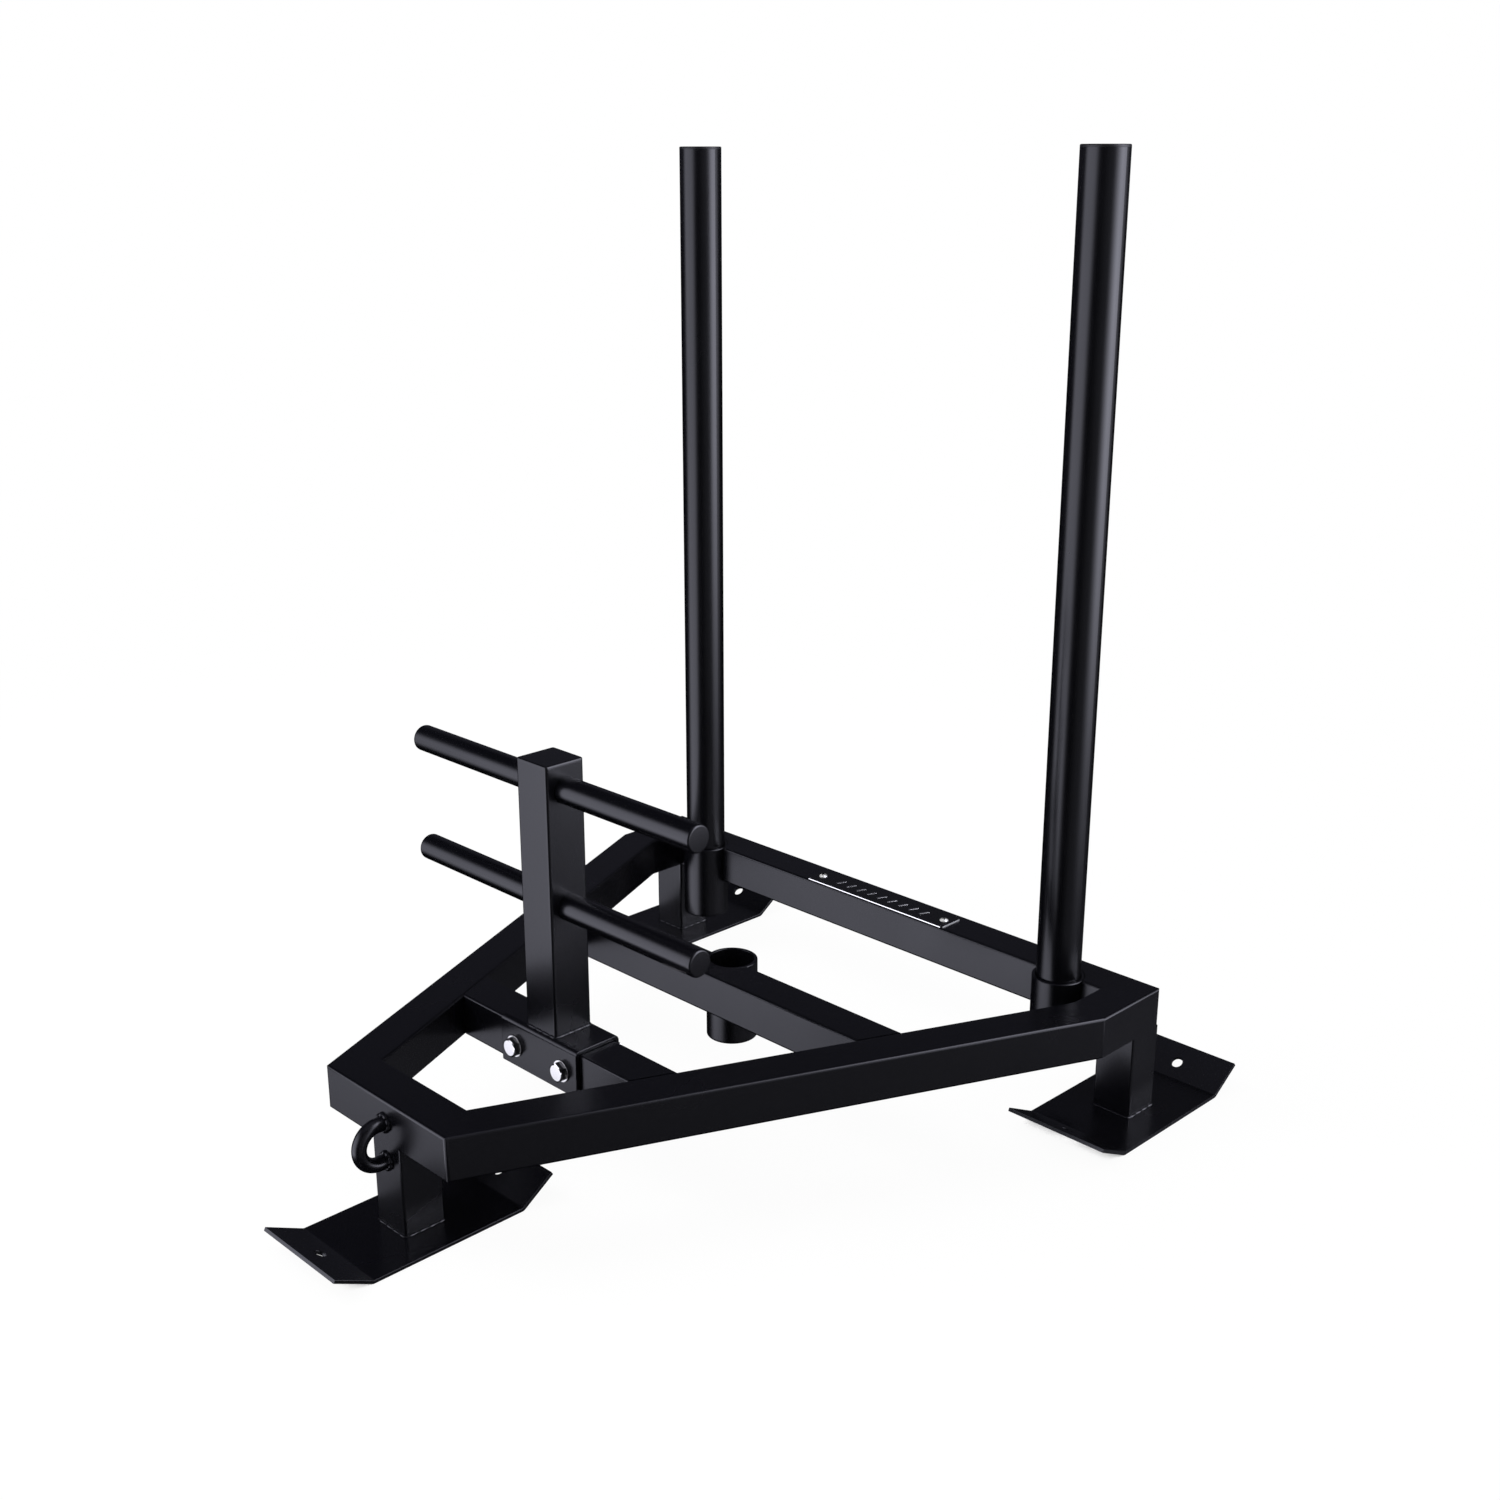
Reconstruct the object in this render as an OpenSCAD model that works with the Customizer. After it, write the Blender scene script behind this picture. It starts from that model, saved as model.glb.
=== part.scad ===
// Push sled: a mitred square-tube frame on three bent skids, with two lift-out push poles
// at the back, a weight sleeve in the middle and a bolted-on handle post near the nose.
// X runs across the sled, the nose points along -Y, Z is up and the skids stand on z = 0.
// The origin is below the middle of the whole sled.

/* [Frame] */
// Outside width and height of the square tube
tube = 48; // [40:1:60]
// Wall of the square tube
tube_wall = 3; // [2:0.5:5]
// Outside corner radius of the square tube
tube_round = 3; // [1.5:0.5:6]
// Width across the nose bar's front face
nose_w = 204; // [160:1:300]
// Width across the two corner pieces
frame_w = 780; // [700:1:900]
// Length from the nose bar's front face to the rear bar's back face
frame_len = 753; // [700:1:900]
// Length of each corner piece, along its outer face
corner_len = 107; // [80:1:160]
// Nose face to the middle of the front bar
front_bar_y = 219; // [180:1:260]
// Nose face to the middle of the middle bar
middle_bar_y = 444.5; // [400:0.5:520]

/* [Legs and skids] */
// Height of the three legs, from skid to frame
leg_h = 95; // [80:1:150]
// Width of a skid plate
skid_w = 125; // [80:1:150]
// Thickness of a skid plate
skid_t = 4; // [3:0.5:8]
// Length of the part of a skid that lies flat
skid_flat = 180; // [120:1:260]
// Length of each turned-up end, from the bend line
skid_tip = 47; // [35:1:70]
// Angle of the turned-up end in front
front_tip_angle = 26; // [15:1:45]
// Angle of the turned-up end behind
rear_tip_angle = 34; // [15:1:45]
// Inside radius of the bends
skid_bend_r = 4; // [2:0.5:10]
// Diameter of the hole in each turned-up end
skid_hole_d = 13; // [6:0.5:16]
// Bend line to the middle of the hole
skid_hole_y = 22; // [18:1:26]
// How far the middle of a skid stands behind the middle of its leg
skid_set_back = 3; // [0:1:20]

/* [Push poles and sockets] */
// Outside diameter of the push poles
pole_d = 50; // [40:0.5:51]
// Wall of the push poles
pole_wall = 3; // [2:0.5:5]
// Height of the pole tops above the floor
pole_top = 1030; // [700:5:1300]
// Clear gap between a pole's socket and the corner piece beside it
socket_gap = 24.5; // [5:0.5:60]
// Thickness of the head of a pole's end cap
pole_cap_t = 3; // [2:0.5:6]
// Length of the end cap's spigot inside the pole
pole_cap_spigot = 12; // [5:1:30]
// Radial play of a pole in its socket
pole_play = 0.5; // [0.3:0.1:1]
// Wall of the sockets and the weight sleeve
socket_wall = 4; // [2:0.5:6]
// Length of the sockets and the weight sleeve, with the disc that closes them
socket_len = 95; // [60:1:130]
// Thickness of the disc that closes a socket
socket_disc_t = 4; // [2:0.5:8]
// How far a socket's axis stands off the face of the bar that it is let into
socket_out = 3; // [0:0.5:15]

/* [Handle] */
// Height of the post's top above the floor
post_top = 447.5; // [440:0.5:600]
// Thickness of the plate that closes the post
post_cap_t = 4; // [2:0.5:8]
// Diameter of the two handle bars
handle_d = 28.5; // [22:0.5:34]
// Wall of the handle bars
handle_wall = 3; // [2:0.5:5]
// Length of a handle bar, with its end caps
handle_len = 437; // [300:1:600]
// Thickness of a handle bar's end cap
handle_cap_t = 4; // [2:0.5:8]
// Height of the upper handle bar's axis
handle_upper_z = 418.5; // [350:0.5:430]
// Height of the lower handle bar's axis
handle_lower_z = 292.5; // [220:0.5:330]

/* [Saddle bracket and bolts] */
// Length of the saddle bracket along the front bar
bracket_len = 125; // [110:1:200]
// Plate thickness of the saddle bracket
bracket_t = 5; // [3:0.5:8]
// Depth of the bracket's flanges below the top of the bar
bracket_drop = 48; // [38:0.5:60]
// Outside radius of the bracket's bends
bracket_round = 6; // [3:0.5:8]
// Gap between each flange and the bar
bracket_gap = 0.2; // [0.1:0.1:0.5]
// Distance between the two bolts
bolt_spacing = 78; // [70:1:90]
// Diameter of the bolts
bolt_d = 12; // [8:1:14]
// Length of the bolts below the head
bolt_len = 80; // [78:1:110]
// Width of the bolt heads and nuts across flats
hex_af = 19; // [16:0.5:22]
// Height of the bolt heads
head_h = 6.5; // [5:0.5:10]
// Height of the nuts
nut_h = 10; // [6:0.5:12]
// Outside diameter of the washers
washer_d = 24; // [20:0.5:28]
// Thickness of the washers
washer_t = 2; // [1.5:0.5:3]
// Width of the flat ring between a hexagon's bevel and its flats
hex_land = 0.4; // [0:0.1:1]
// How much wider a bolt hole is than its bolt
bolt_play = 1; // [0.5:0.1:2]

/* [Tow ring] */
// Diameter of the bar that the tow ring is bent from
ring_d = 15; // [8:0.5:18]
// Radius of the ring's bend, at the middle of the bar
ring_bend_r = 21; // [18:0.5:24]
// Straight stretch between the bend and the face it is welded to
ring_straight = 9.5; // [5:0.5:20]
// Underside of the frame to the middle of the ring, upwards
ring_rise = 3; // [0:0.5:5]

/* [Name plate] */
// Length of the plate
plate_len = 220; // [120:1:300]
// Width of the plate
plate_w = 36; // [20:1:38]
// Thickness of the plate
plate_t = 1.5; // [1:0.5:3]
// How far the middle of the plate stands to the right of the sled's middle
plate_right = 4.5; // [0:0.5:20]
// How far the middle of the plate stands in front of the rear bar's middle
plate_forward = 4; // [0:0.5:5]
// Distance between the plate's two screws
screw_spacing = 198; // [80:1:210]
// Diameter of the screws
screw_d = 5; // [3:0.5:6]
// Diameter of the screw heads
screw_head_d = 10.5; // [8:0.5:14]
// Height of the screw heads
screw_head_h = 3; // [2:0.5:4]
// Length of the screws below the head
screw_len = 10; // [6:1:20]

/* [Welds and clearances] */
// Leg of the weld beads round the feet of the legs and the post
weld_leg = 3; // [2:0.5:5]
// Height and width of the weld beads round the tow ring's ends
ring_weld = 4.5; // [2:0.5:6]
// Gap between a tube and the hole or notch that it is welded into
weld_gap = 0.2; // [0.1:0.1:0.4]
// Radial play between a screw, bolt or spigot and what it is driven into
thread_play = 0.1; // [0.05:0.05:0.2]
// Bevel on the edges of caps and tube ends
edge_bevel = 1.2; // [0.5:0.1:1.5]

/* [Hidden] */

// Overshoot of cutting shapes
eps = 1;
round_fn = 96;
hex_fn = 6;

// Heights
deck_low = skid_t + leg_h;
deck_top = deck_low + tube;
bar_mid_z = deck_low + tube / 2;
socket_low = deck_top - socket_len;
pole_foot = socket_low + socket_disc_t;

// Lengths along Y, with the origin below the middle of the whole sled
front_run = skid_tip * cos(front_tip_angle);
rear_run = skid_tip * cos(rear_tip_angle);
front_reach = front_run + skid_flat / 2 - skid_set_back - tube / 2;
rear_reach = rear_run + skid_flat / 2 + skid_set_back - tube / 2;
nose_y = -(front_reach + frame_len + rear_reach) / 2 + front_reach;
rear_y = nose_y + frame_len;
front_leg_y = nose_y + tube / 2;
rear_leg_y = rear_y - tube / 2;
rear_leg_x = frame_w / 2 - tube / 2;
front_bar_mid = nose_y + front_bar_y;
middle_bar_mid = nose_y + middle_bar_y;

// Sockets and poles
pole_r = pole_d / 2;
socket_bore_r = pole_r + pole_play;
socket_r = socket_bore_r + socket_wall;
pole_x = frame_w / 2 - tube - socket_gap - socket_r;
pole_y = rear_y - tube - socket_out;
sleeve_y = middle_bar_mid + tube / 2 + socket_out;
disc_bevel = socket_disc_t / 2;

// Saddle bracket
bracket_face = tube / 2 + bracket_gap + bracket_t;
bracket_top = deck_top + bracket_t;
bolt_hole_d = bolt_d + bolt_play;
bolt_x = bolt_spacing / 2;
washer_face = bracket_face + washer_t;

// Name plate
plate_y = rear_leg_y - plate_forward;
plate_top = deck_top + plate_t;
plate_bevel = plate_t / 2;

// Outer corners of the frame in plan, anticlockwise, and the inner corners one tube further in
outer = [
    [nose_w / 2, nose_y],
    [frame_w / 2, rear_y - corner_len],
    [frame_w / 2, rear_y],
    [-frame_w / 2, rear_y],
    [-frame_w / 2, rear_y - corner_len],
    [-nose_w / 2, nose_y]
];
corners = len(outer);
function unit(v) = v / norm(v);
function left_of(v) = [-v[1], v[0]];
function side(i) = unit(outer[(i + 1) % corners] - outer[i]);
function inner_corner(i) =
    let (a = left_of(side((i + corners - 1) % corners)), b = left_of(side(i)))
    outer[i] + tube * (a + b) / (1 + a * b);
inner = [for (i = [0 : corners - 1]) inner_corner(i)];

// Half of the clear width between the side rails at a distance y
function rail_gap(y) =
    inner[0][0] + (y - inner[0][1]) * (inner[1][0] - inner[0][0]) / (inner[1][1] - inner[0][1]);

// Square with rounded corners, its lower left corner at the origin
module round_square(size, r) {
    translate([r, 0]) square([size - 2 * r, size]);
    translate([0, r]) square([size, size - 2 * r]);
    for (x = [r, size - r], y = [r, size - r]) {
        translate([x, y]) circle(r = r, $fn = 32);
    }
}

// Cross-section of the square tube
module tube_section() {
    difference() {
        round_square(tube, tube_round);
        translate([tube_wall, tube_wall]) round_square(tube - 2 * tube_wall, tube_round / 2);
    }
}

// Square tube along +X, its outer face on y = 0 and its underside on the frame's
module tube_along_x(length) {
    translate([0, 0, deck_low]) {
        rotate([90, 0, 90]) linear_extrude(length) tube_section();
    }
}

// Frame member along one side of the outline, cut to the mitre at both ends
module mitred_member(i) {
    j = (i + 1) % corners;
    run = outer[j] - outer[i];
    intersection() {
        translate([outer[i][0], outer[i][1], 0]) rotate([0, 0, atan2(run[1], run[0])]) {
            translate([-tube, 0, 0]) tube_along_x(norm(run) + 2 * tube);
        }
        translate([0, 0, deck_low - eps]) {
            linear_extrude(tube + 2 * eps) polygon([outer[i], outer[j], inner[j], inner[i]]);
        }
    }
}

// Cross bar between the side rails, its ends cut to the rails' slant
module cross_bar(mid_y) {
    low_y = mid_y - tube / 2;
    high_y = mid_y + tube / 2;
    intersection() {
        translate([-frame_w / 2, low_y, 0]) tube_along_x(frame_w);
        translate([0, 0, deck_low - eps]) {
            linear_extrude(tube + 2 * eps) polygon([
                [-rail_gap(low_y), low_y], [rail_gap(low_y), low_y],
                [rail_gap(high_y), high_y], [-rail_gap(high_y), high_y]
            ]);
        }
    }
}

// Round notch that lets a socket into a bar
module socket_notch(x, y) {
    translate([x, y, deck_low - eps]) {
        cylinder(r = socket_r + weld_gap, h = tube + 2 * eps, $fn = round_fn);
    }
}

// Upright square tube from z to z + h, centred on x, y
module upright(x, y, z, h) {
    translate([x - tube / 2, y - tube / 2, z]) linear_extrude(h) tube_section();
}

// Cylinder along +Y, starting at y = 0
module rod_y(d, h) {
    rotate([-90, 0, 0]) cylinder(d = d, h = h, $fn = round_fn);
}

// Cylinder along X, centred
module rod_x(d, length) {
    rotate([0, 90, 0]) cylinder(d = d, h = length, center = true, $fn = round_fn);
}

// Frame
module nose_bar() {
    color([0.10, 0.10, 0.12]) mitred_member(5);
}

module side_rail_right() {
    color([0.10, 0.10, 0.12]) mirror([1, 0, 0]) mitred_member(4);
}

module side_rail_left() {
    color([0.10, 0.10, 0.12]) mitred_member(4);
}

module corner_piece_right() {
    color([0.10, 0.10, 0.12]) mitred_member(1);
}

module corner_piece_left() {
    color([0.10, 0.10, 0.12]) mitred_member(3);
}

module rear_bar() {
    color([0.10, 0.10, 0.12]) difference() {
        mitred_member(2);
        for (s = [-1, 1]) {
            socket_notch(s * pole_x, pole_y);
            translate([plate_right + s * screw_spacing / 2, plate_y, bar_mid_z]) {
                cylinder(d = screw_d + 2 * thread_play, h = tube, $fn = 48);
            }
        }
    }
}

module middle_bar() {
    color([0.10, 0.10, 0.12]) difference() {
        cross_bar(middle_bar_mid);
        socket_notch(0, sleeve_y);
    }
}

module front_bar() {
    color([0.10, 0.10, 0.12]) difference() {
        cross_bar(front_bar_mid);
        for (s = [-1, 1]) {
            translate([s * bolt_x, front_bar_mid - tube, bar_mid_z]) rod_y(bolt_hole_d, 2 * tube);
        }
    }
}

// Legs
module leg_front() {
    color([0.11, 0.11, 0.13]) upright(0, front_leg_y, skid_t, leg_h);
}

module leg_rear(s) {
    color([0.11, 0.11, 0.13]) upright(s * rear_leg_x, rear_leg_y, skid_t, leg_h);
}

// Skid profile above one of its two faces: low = 0 starts at the underside, skid_t at the top.
// Both bends are arcs round the same two centres.
module skid_above(low, past, ceiling) {
    half = skid_flat / 2;
    centre_z = skid_bend_r + skid_t;
    r = centre_z - low;
    front_x = -half + centre_z * tan(front_tip_angle / 2);
    rear_x = half - centre_z * tan(rear_tip_angle / 2);
    front_far = skid_tip + past;
    front_end = [
        -half - front_far * cos(front_tip_angle) + low * sin(front_tip_angle),
        front_far * sin(front_tip_angle) + low * cos(front_tip_angle)
    ];
    rear_end = [
        half + front_far * cos(rear_tip_angle) - low * sin(rear_tip_angle),
        front_far * sin(rear_tip_angle) + low * cos(rear_tip_angle)
    ];
    front_up = [sin(front_tip_angle), cos(front_tip_angle)];
    rear_up = [-sin(rear_tip_angle), cos(rear_tip_angle)];
    polygon([
        front_end,
        [front_x - r * sin(front_tip_angle), centre_z - r * cos(front_tip_angle)],
        [front_x, low],
        [rear_x, low],
        [rear_x + r * sin(rear_tip_angle), centre_z - r * cos(rear_tip_angle)],
        rear_end,
        rear_end + ceiling * rear_up,
        front_end + ceiling * front_up
    ]);
    for (x = [front_x, rear_x]) {
        translate([x, centre_z]) circle(r = r, $fn = round_fn);
    }
}

// Skid plate with both ends turned up and a hole in each end, its flat part centred on x, y
module skid(x, y) {
    half = skid_flat / 2;
    color([0.09, 0.09, 0.10]) translate([x, y, 0]) difference() {
        translate([-skid_w / 2, 0, 0]) rotate([90, 0, 90]) linear_extrude(skid_w) difference() {
            skid_above(0, 0, skid_t);
            skid_above(skid_t, eps, 2 * skid_tip);
        }
        translate([0, half, 0]) rotate([rear_tip_angle, 0, 0]) {
            translate([0, skid_hole_y, -eps]) {
                cylinder(d = skid_hole_d, h = skid_t + 2 * eps, $fn = 64);
            }
        }
        translate([0, -half, 0]) rotate([-front_tip_angle, 0, 0]) {
            translate([0, -skid_hole_y, -eps]) {
                cylinder(d = skid_hole_d, h = skid_t + 2 * eps, $fn = 64);
            }
        }
    }
}

module skid_front() {
    skid(0, front_leg_y + skid_set_back);
}

module skid_rear(s) {
    skid(s * rear_leg_x, rear_leg_y + skid_set_back);
}

// Sockets: a tube with a bevelled mouth, flush with the top of the frame
module socket(x, y) {
    color([0.10, 0.10, 0.12]) translate([x, y, 0]) rotate_extrude($fn = round_fn) polygon([
        [socket_bore_r, pole_foot],
        [socket_r, pole_foot],
        [socket_r, deck_top - edge_bevel / 2],
        [socket_r - edge_bevel / 2, deck_top],
        [socket_bore_r + edge_bevel, deck_top],
        [socket_bore_r, deck_top - edge_bevel]
    ]);
}

module weight_sleeve() {
    socket(0, sleeve_y);
}

module pole_socket(s) {
    socket(s * pole_x, pole_y);
}

// Bevelled disc that closes the foot of each socket
module socket_disc() {
    rotate_extrude($fn = round_fn) polygon([
        [0, socket_low],
        [socket_r - disc_bevel, socket_low],
        [socket_r, socket_low + disc_bevel],
        [socket_r, pole_foot],
        [0, pole_foot]
    ]);
}

module socket_discs() {
    color([0.09, 0.09, 0.10]) {
        translate([0, sleeve_y, 0]) socket_disc();
        for (s = [-1, 1]) {
            translate([s * pole_x, pole_y, 0]) socket_disc();
        }
    }
}

// Push poles, standing on the socket discs
module push_pole(s) {
    color([0.10, 0.10, 0.12]) translate([s * pole_x, pole_y, pole_foot]) difference() {
        cylinder(r = pole_r, h = pole_top - pole_cap_t - pole_foot, $fn = round_fn);
        translate([0, 0, -eps]) cylinder(r = pole_r - pole_wall, h = pole_top, $fn = round_fn);
    }
}

module pole_cap(s) {
    spigot_r = pole_r - pole_wall - thread_play;
    seat = pole_top - pole_cap_t;
    color([0.08, 0.08, 0.09]) translate([s * pole_x, pole_y, 0]) rotate_extrude($fn = round_fn) {
        polygon([
            [0, seat],
            [spigot_r - pole_wall, seat],
            [spigot_r - pole_wall, seat - pole_cap_spigot],
            [spigot_r, seat - pole_cap_spigot],
            [spigot_r, seat],
            [pole_r, seat],
            [pole_r, pole_top - edge_bevel],
            [pole_r - edge_bevel, pole_top],
            [0, pole_top]
        ]);
    }
}

// Saddle bracket: plate bent over the front bar, with a flange down each face
module bracket_profile() {
    r = bracket_round;
    low = deck_top - bracket_drop;
    width = 2 * bracket_face;
    difference() {
        union() {
            translate([-bracket_face, low]) square([width, bracket_top - r - low]);
            translate([-bracket_face + r, low]) square([width - 2 * r, bracket_top - low]);
            for (s = [-1, 1]) {
                translate([s * (bracket_face - r), bracket_top - r]) circle(r = r, $fn = 64);
            }
        }
        translate([-bracket_face + bracket_t, low - eps]) {
            square([width - 2 * bracket_t, bracket_drop + eps]);
        }
    }
}

module bracket_body() {
    translate([-bracket_len / 2, front_bar_mid, 0]) {
        rotate([90, 0, 90]) linear_extrude(bracket_len) bracket_profile();
    }
}

module handle_bracket() {
    color([0.11, 0.11, 0.13]) difference() {
        bracket_body();
        for (s = [-1, 1]) {
            translate([s * bolt_x, front_bar_mid - tube, bar_mid_z]) rod_y(bolt_hole_d, 2 * tube);
        }
    }
}

// Handle post and its two bars
module handle_post() {
    color([0.11, 0.11, 0.13]) difference() {
        upright(0, front_bar_mid, bracket_top, post_top - post_cap_t - bracket_top);
        for (z = [handle_lower_z, handle_upper_z]) {
            translate([0, front_bar_mid, z]) rod_x(handle_d + 2 * weld_gap, 2 * tube);
        }
    }
}

module post_cap() {
    color([0.11, 0.11, 0.13]) {
        translate([-tube / 2, front_bar_mid - tube / 2, post_top - post_cap_t]) {
            linear_extrude(post_cap_t) round_square(tube, tube_round);
        }
    }
}

module handle_bar(z) {
    length = handle_len - 2 * handle_cap_t;
    color([0.10, 0.10, 0.12]) translate([0, front_bar_mid, z]) difference() {
        rod_x(handle_d, length);
        rod_x(handle_d - 2 * handle_wall, length + 2 * eps);
    }
}

module handle_bar_caps() {
    r = handle_d / 2;
    seat = handle_len / 2 - handle_cap_t;
    color([0.11, 0.11, 0.13]) for (z = [handle_lower_z, handle_upper_z], s = [0, 1]) {
        translate([0, front_bar_mid, z]) mirror([s, 0, 0]) rotate([0, 90, 0]) {
            rotate_extrude($fn = round_fn) polygon([
                [0, seat],
                [r, seat],
                [r, seat + handle_cap_t - edge_bevel],
                [r - edge_bevel, seat + handle_cap_t],
                [0, seat + handle_cap_t]
            ]);
        }
    }
}

// Hexagon with two corners upright and its rims bevelled, from y = 0 to y = h
module hex_prism_y(h, bevel_low, bevel_high) {
    corner_r = hex_af / 2 / cos(30);
    slope = tan(30);
    cut = corner_r - hex_af / 2 + hex_land;
    rotate([-90, 0, 0]) intersection() {
        rotate(30) cylinder(r = corner_r, h = h, $fn = hex_fn);
        rotate_extrude($fn = round_fn) polygon([
            [0, 0],
            [bevel_low ? corner_r - cut : corner_r, 0],
            [corner_r, bevel_low ? cut * slope : 0],
            [corner_r, bevel_high ? h - cut * slope : h],
            [bevel_high ? corner_r - cut : corner_r, h],
            [0, h]
        ]);
    }
}

// Bolts with their heads in front, washers on both faces and nuts behind
module bracket_bolts() {
    color([0.85, 0.86, 0.88]) for (s = [-1, 1]) {
        translate([s * bolt_x, front_bar_mid - washer_face - head_h, bar_mid_z]) {
            hex_prism_y(head_h, true, false);
            rod_y(bolt_d, head_h + bolt_len);
        }
    }
}

module bracket_washers() {
    color([0.80, 0.81, 0.83]) for (s = [-1, 1], y = [-washer_face, bracket_face]) {
        translate([s * bolt_x, front_bar_mid + y, bar_mid_z]) difference() {
            rod_y(washer_d, washer_t);
            translate([0, -eps, 0]) rod_y(bolt_hole_d, washer_t + 2 * eps);
        }
    }
}

module bracket_nuts() {
    color([0.85, 0.86, 0.88]) for (s = [-1, 1]) {
        translate([s * bolt_x, front_bar_mid + washer_face, bar_mid_z]) difference() {
            hex_prism_y(nut_h, true, true);
            translate([0, -eps, 0]) rod_y(bolt_d + 2 * thread_play, nut_h + 2 * eps);
        }
    }
}

// Tow ring: a round bar bent to a U, its upper end on the nose bar and its lower on the leg
module tow_ring() {
    mid_z = deck_low + ring_rise;
    color([0.10, 0.10, 0.12]) translate([0, nose_y, mid_z]) {
        translate([0, -ring_straight, 0]) rotate([0, 90, 0]) intersection() {
            rotate_extrude($fn = round_fn) {
                translate([ring_bend_r, 0]) circle(d = ring_d, $fn = 48);
            }
            reach = ring_bend_r + ring_d;
            translate([-reach, -reach, -ring_d]) cube([2 * reach, reach, 2 * ring_d]);
        }
        for (s = [-1, 1]) {
            translate([0, -ring_straight, s * ring_bend_r]) rod_y(ring_d, ring_straight);
        }
    }
}

// Bare name plate on top of the rear bar, its upper edges bevelled
module plate_section(size) {
    polygon([
        [-size / 2, 0], [size / 2, 0], [size / 2, plate_t - plate_bevel],
        [size / 2 - plate_bevel, plate_t], [-size / 2 + plate_bevel, plate_t],
        [-size / 2, plate_t - plate_bevel]
    ]);
}

module nameplate() {
    color([0.05, 0.05, 0.06]) translate([plate_right, plate_y, deck_top]) difference() {
        intersection() {
            translate([-plate_len / 2, 0, 0]) {
                rotate([90, 0, 90]) linear_extrude(plate_len) plate_section(plate_w);
            }
            translate([0, plate_w / 2, 0]) {
                rotate([90, 0, 0]) linear_extrude(plate_w) plate_section(plate_len);
            }
        }
        for (s = [-1, 1]) {
            translate([s * screw_spacing / 2, 0, -eps]) {
                cylinder(d = screw_d + 4 * thread_play, h = plate_t + 2 * eps, $fn = 48);
            }
        }
    }
}

// Dome-headed screws
module nameplate_screws() {
    head_r = screw_head_d / 2;
    dome_r = (head_r * head_r + screw_head_h * screw_head_h) / (2 * screw_head_h);
    color([0.85, 0.86, 0.88]) for (s = [-1, 1]) {
        translate([plate_right + s * screw_spacing / 2, plate_y, plate_top]) {
            intersection() {
                translate([0, 0, screw_head_h - dome_r]) sphere(r = dome_r, $fn = round_fn);
                cylinder(r = head_r, h = screw_head_h, $fn = round_fn);
            }
            translate([0, 0, -screw_len]) cylinder(d = screw_d, h = screw_len, $fn = 48);
        }
    }
}

// Fillet welds along the four flats of an upright tube's foot, reaching down by root below it
module foot_weld(x, y, z, root) {
    run = tube - 2 * tube_round;
    for (a = [0 : 90 : 270]) {
        translate([x, y, z]) rotate(a) translate([tube / 2, run / 2, 0]) rotate([90, 0, 0]) {
            linear_extrude(run) polygon([
                [0, -root], [weld_leg, -root], [weld_leg, 0], [0, weld_leg]
            ]);
        }
    }
}

module leg_weld_beads() {
    color([0.12, 0.12, 0.14]) {
        foot_weld(0, front_leg_y, skid_t, 0);
        for (s = [-1, 1]) {
            foot_weld(s * rear_leg_x, rear_leg_y, skid_t, 0);
        }
    }
}

module post_weld_bead() {
    color([0.12, 0.12, 0.14]) difference() {
        foot_weld(0, front_bar_mid, bracket_top, bracket_round / 2);
        bracket_body();
    }
}

// Ring of weld round each end of the tow ring
module ring_weld_beads() {
    inside = ring_d / 2 + thread_play;
    color([0.12, 0.12, 0.14]) for (s = [-1, 1]) {
        translate([0, nose_y, deck_low + ring_rise + s * ring_bend_r]) rotate([90, 0, 0]) {
            rotate_extrude($fn = 64) polygon([
                [inside, 0],
                [inside + ring_weld, 0],
                [inside + ring_weld * 0.6, ring_weld * 0.7],
                [inside, ring_weld]
            ]);
        }
    }
}

nose_bar();
side_rail_left();
side_rail_right();
corner_piece_left();
corner_piece_right();
rear_bar();
middle_bar();
front_bar();
leg_front();
leg_rear(-1);  // leg_rear_left
leg_rear(1);  // leg_rear_right
skid_front();
skid_rear(-1);  // skid_rear_left
skid_rear(1);  // skid_rear_right
weight_sleeve();
pole_socket(-1);  // pole_socket_left
pole_socket(1);  // pole_socket_right
socket_discs();
push_pole(-1);  // push_pole_left
push_pole(1);  // push_pole_right
pole_cap(-1);  // pole_cap_left
pole_cap(1);  // pole_cap_right
handle_bracket();
handle_post();
post_cap();
handle_bar(handle_upper_z);  // handle_bar_upper
handle_bar(handle_lower_z);  // handle_bar_lower
handle_bar_caps();
bracket_bolts();
bracket_washers();
bracket_nuts();
tow_ring();
nameplate();
nameplate_screws();
leg_weld_beads();
post_weld_bead();
ring_weld_beads();
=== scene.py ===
import math
import random

import bmesh
import bpy
from mathutils import Matrix, Vector


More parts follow.
